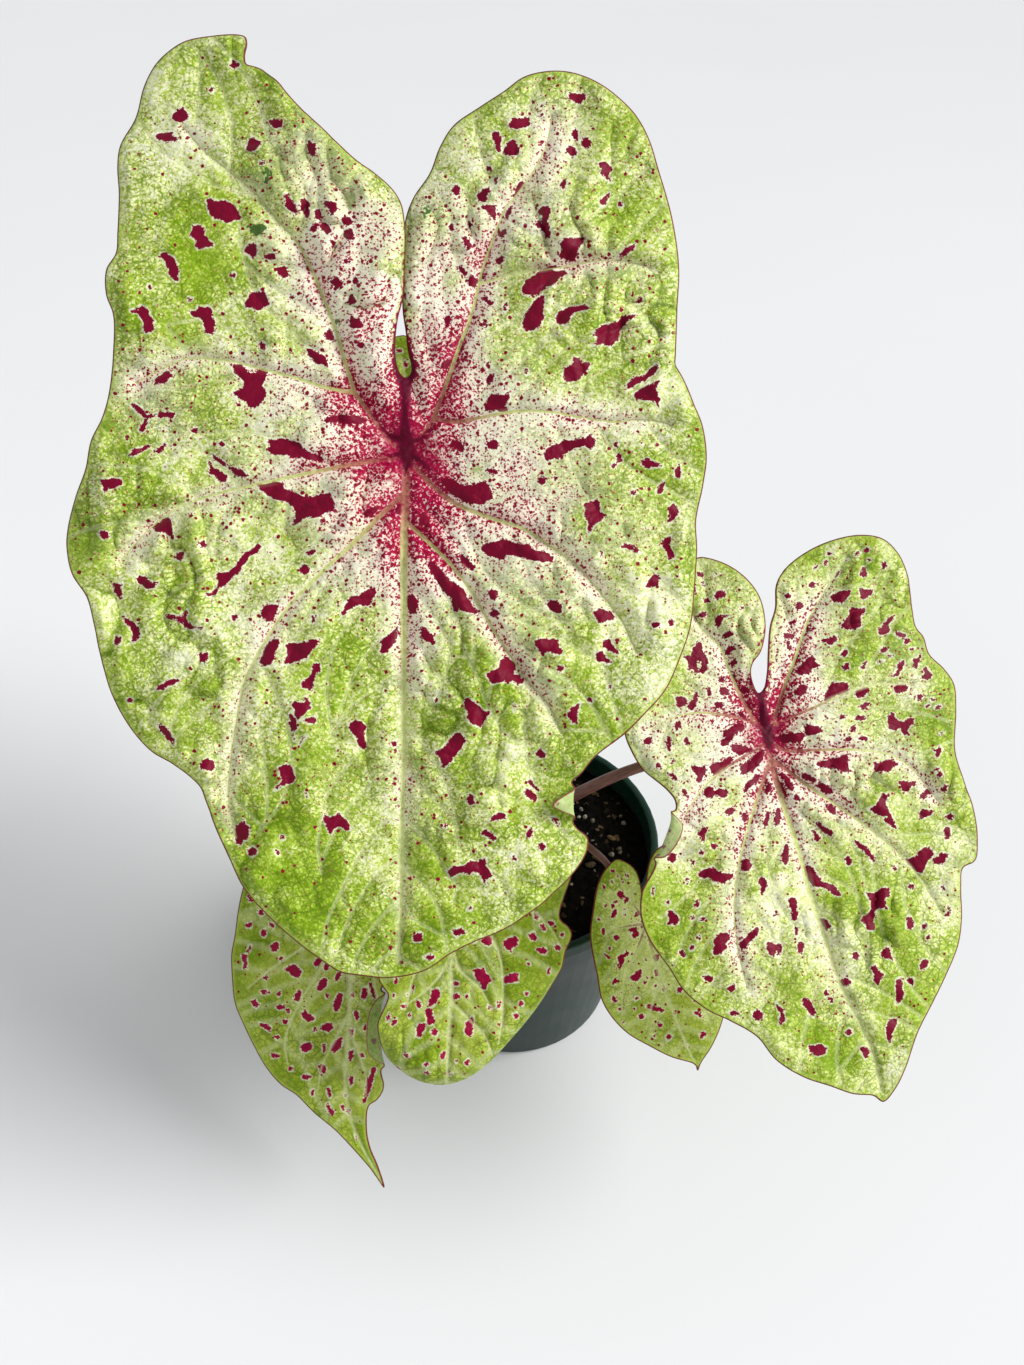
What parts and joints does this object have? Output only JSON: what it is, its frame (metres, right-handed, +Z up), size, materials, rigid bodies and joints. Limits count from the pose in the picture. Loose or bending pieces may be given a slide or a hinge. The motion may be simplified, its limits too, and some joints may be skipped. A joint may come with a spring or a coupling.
{
  "type": "potted caladium",
  "caption": "Caladium house plant with large speckled heart-shaped leaves on slender stalks, rooted in soil in a round tapered nursery pot.",
  "frame": {"origin": "middle of the pot's underside", "axes": "+Z up along the pot's axis, -Y the side the plant faces, +X to its right as seen from that side"},
  "size_m": [0.2612, 0.2248, 0.3218],
  "materials": {
    "pot_plastic": "satin",
    "soil": "matte",
    "tuber_skin": "matte",
    "blade_pale": "satin",
    "blade_green": "satin",
    "petiole": "satin"
  },
  "bodies": {
    "root": {"pot": "pot_plastic", "potting_soil": "soil", "tuber": "tuber_skin", "leaf_blade_a": "blade_pale", "leaf_blade_b": "blade_pale", "leaf_blade_c": "blade_green", "leaf_blade_d": "blade_green", "leaf_blade_e": "blade_green", "leaf_blade_f": "blade_green", "petiole_a": "petiole", "petiole_b": "petiole", "petiole_c": "petiole", "petiole_d": "petiole", "petiole_e": "petiole", "petiole_f": "petiole"}
  },
  "joints": []
}
